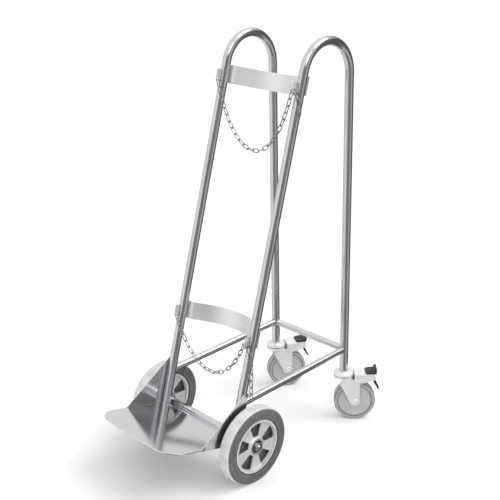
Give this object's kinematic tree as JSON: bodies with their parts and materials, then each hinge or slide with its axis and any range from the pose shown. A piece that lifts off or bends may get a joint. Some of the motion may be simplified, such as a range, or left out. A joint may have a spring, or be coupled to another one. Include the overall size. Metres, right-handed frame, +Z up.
{
  "type": "gas cylinder trolley",
  "caption": "Trolley for one upright gas cylinder: two bent tube side frames, sloping toe plate, curved saddles with chains, two fixed wheels and two braked swivel castors.",
  "frame": {"origin": "on the floor, under the middle of the wheel axle", "axes": "+Z up, +X to the trolley's right side, -Y the front with the toe plate, +Y the rear with the castors"},
  "size_m": [0.4423, 0.8054, 1.1647],
  "materials": {
    "satin_tube": "satin, ground along the tube",
    "satin_strap": "satin, lengthwise grain",
    "polished_sheet": "bright, nearly mirror",
    "chain_steel": "bright",
    "bright_steel": "polished",
    "zinc_plated_steel": "bright zinc plate",
    "cast_rim": "cast, semi-bright",
    "bearing_seal": "dark shielded bearing",
    "tyre_rubber": "matte dark grey",
    "castor_plastic": "light grey moulded",
    "castor_rubber": "mid grey, matte",
    "black_plastic": "black moulded",
    "plug_plastic": "black moulded"
  },
  "bodies": {
    "frame": {"left_side_frame": "satin_tube", "right_side_frame": "satin_tube", "left_side_rail": "satin_tube", "right_side_rail": "satin_tube", "rear_cross_tube": "satin_tube", "axle_tube": "satin_tube", "wheel_axle": "bright_steel", "axle_spacers": "bright_steel", "axle_washers": "bright_steel", "axle_nuts": "zinc_plated_steel", "toe_plate": "polished_sheet", "left_gusset": "polished_sheet", "right_gusset": "polished_sheet", "upper_saddle": "satin_strap", "lower_saddle": "satin_strap", "upper_left_hook": "satin_strap", "lower_left_hook": "satin_strap", "upper_right_hook": "satin_strap", "lower_right_hook": "satin_strap", "upper_hooked_link": "chain_steel", "lower_hooked_link": "chain_steel", "left_castor_plug": "plug_plastic", "left_castor_bolt": "zinc_plated_steel", "left_castor_head": "zinc_plated_steel", "left_castor_balls": "zinc_plated_steel", "right_castor_plug": "plug_plastic", "right_castor_bolt": "zinc_plated_steel", "right_castor_head": "zinc_plated_steel", "right_castor_balls": "zinc_plated_steel"},
    "left_wheel": {"left_wheel_tyre": "tyre_rubber", "left_wheel_rim": "cast_rim", "left_wheel_bearings": "bearing_seal"},
    "left_castor": {"left_castor_fork": "zinc_plated_steel", "left_castor_sleeve": "zinc_plated_steel", "left_castor_axle_bolt": "zinc_plated_steel", "left_castor_axle_nut": "zinc_plated_steel", "left_brake_pin": "zinc_plated_steel"},
    "left_castor_wheel": {"left_castor_core": "castor_plastic", "left_castor_tread": "castor_rubber"},
    "left_brake": {"left_brake_channel": "zinc_plated_steel", "left_brake_pedal": "black_plastic", "left_brake_release": "black_plastic"},
    "right_wheel": {"right_wheel_tyre": "tyre_rubber", "right_wheel_rim": "cast_rim", "right_wheel_bearings": "bearing_seal"},
    "right_castor": {"right_castor_fork": "zinc_plated_steel", "right_castor_sleeve": "zinc_plated_steel", "right_castor_axle_bolt": "zinc_plated_steel", "right_castor_axle_nut": "zinc_plated_steel", "right_brake_pin": "zinc_plated_steel"},
    "right_castor_wheel": {"right_castor_core": "castor_plastic", "right_castor_tread": "castor_rubber"},
    "right_brake": {"right_brake_channel": "zinc_plated_steel", "right_brake_pedal": "black_plastic", "right_brake_release": "black_plastic"},
    "upper_chain": {"upper_chain": "chain_steel"},
    "upper_chain_tail": {"upper_chain_tail": "chain_steel"},
    "lower_chain": {"lower_chain": "chain_steel"},
    "lower_chain_tail": {"lower_chain_tail": "chain_steel"}
  },
  "joints": [
    {"name": "left_wheel_spin", "type": "hinge", "parent": "frame", "child": "left_wheel", "pos_m": [0, 0, 0.11], "axis": [1, 0, 0], "continuous": true},
    {"name": "left_castor_swivel", "type": "hinge", "parent": "frame", "child": "left_castor", "pos_m": [-0.1424, 0.43476, 0], "axis": [0, 0, 1], "continuous": true},
    {"name": "left_castor_wheel_spin", "type": "hinge", "parent": "left_castor", "child": "left_castor_wheel", "pos_m": [-0.12465, 0.4655, 0.0625], "axis": [0.866, -0.5, 0], "continuous": true},
    {"name": "left_brake_pedal", "type": "hinge", "parent": "left_castor", "child": "left_brake", "pos_m": [-0.1224, 0.4694, 0.1315], "axis": [0.866, -0.5, 0], "range_deg": [-10, 0]},
    {"name": "right_wheel_spin", "type": "hinge", "parent": "frame", "child": "right_wheel", "pos_m": [0, 0, 0.11], "axis": [1, 0, 0], "continuous": true},
    {"name": "right_castor_swivel", "type": "hinge", "parent": "frame", "child": "right_castor", "pos_m": [0.1424, 0.43476, 0], "axis": [0, 0, 1], "continuous": true},
    {"name": "right_castor_wheel_spin", "type": "hinge", "parent": "right_castor", "child": "right_castor_wheel", "pos_m": [0.16794, 0.45942, 0.0625], "axis": [0.6947, -0.7193, 0], "continuous": true},
    {"name": "right_brake_pedal", "type": "hinge", "parent": "right_castor", "child": "right_brake", "pos_m": [0.17117, 0.46254, 0.1315], "axis": [0.6947, -0.7193, 0], "range_deg": [-10, 0]},
    {"name": "upper_chain_swing", "type": "hinge", "parent": "frame", "child": "upper_chain", "pos_m": [0, 0.18901, 1.03562], "axis": [1, 0, 0], "range_deg": [-25, 0]},
    {"name": "lower_chain_swing", "type": "hinge", "parent": "frame", "child": "lower_chain", "pos_m": [0, 0.01641, 0.38512], "axis": [1, 0, 0], "range_deg": [-25, 6]},
    {"name": "upper_tail_swing", "type": "hinge", "parent": "frame", "child": "upper_chain_tail", "pos_m": [0.1489, 0.18901, 1.03582], "axis": [1, 0, 0], "range_deg": [-20, 8]},
    {"name": "lower_tail_swing", "type": "hinge", "parent": "frame", "child": "lower_chain_tail", "pos_m": [0.1489, 0.01641, 0.38532], "axis": [1, 0, 0], "range_deg": [0, 8]}
  ]
}
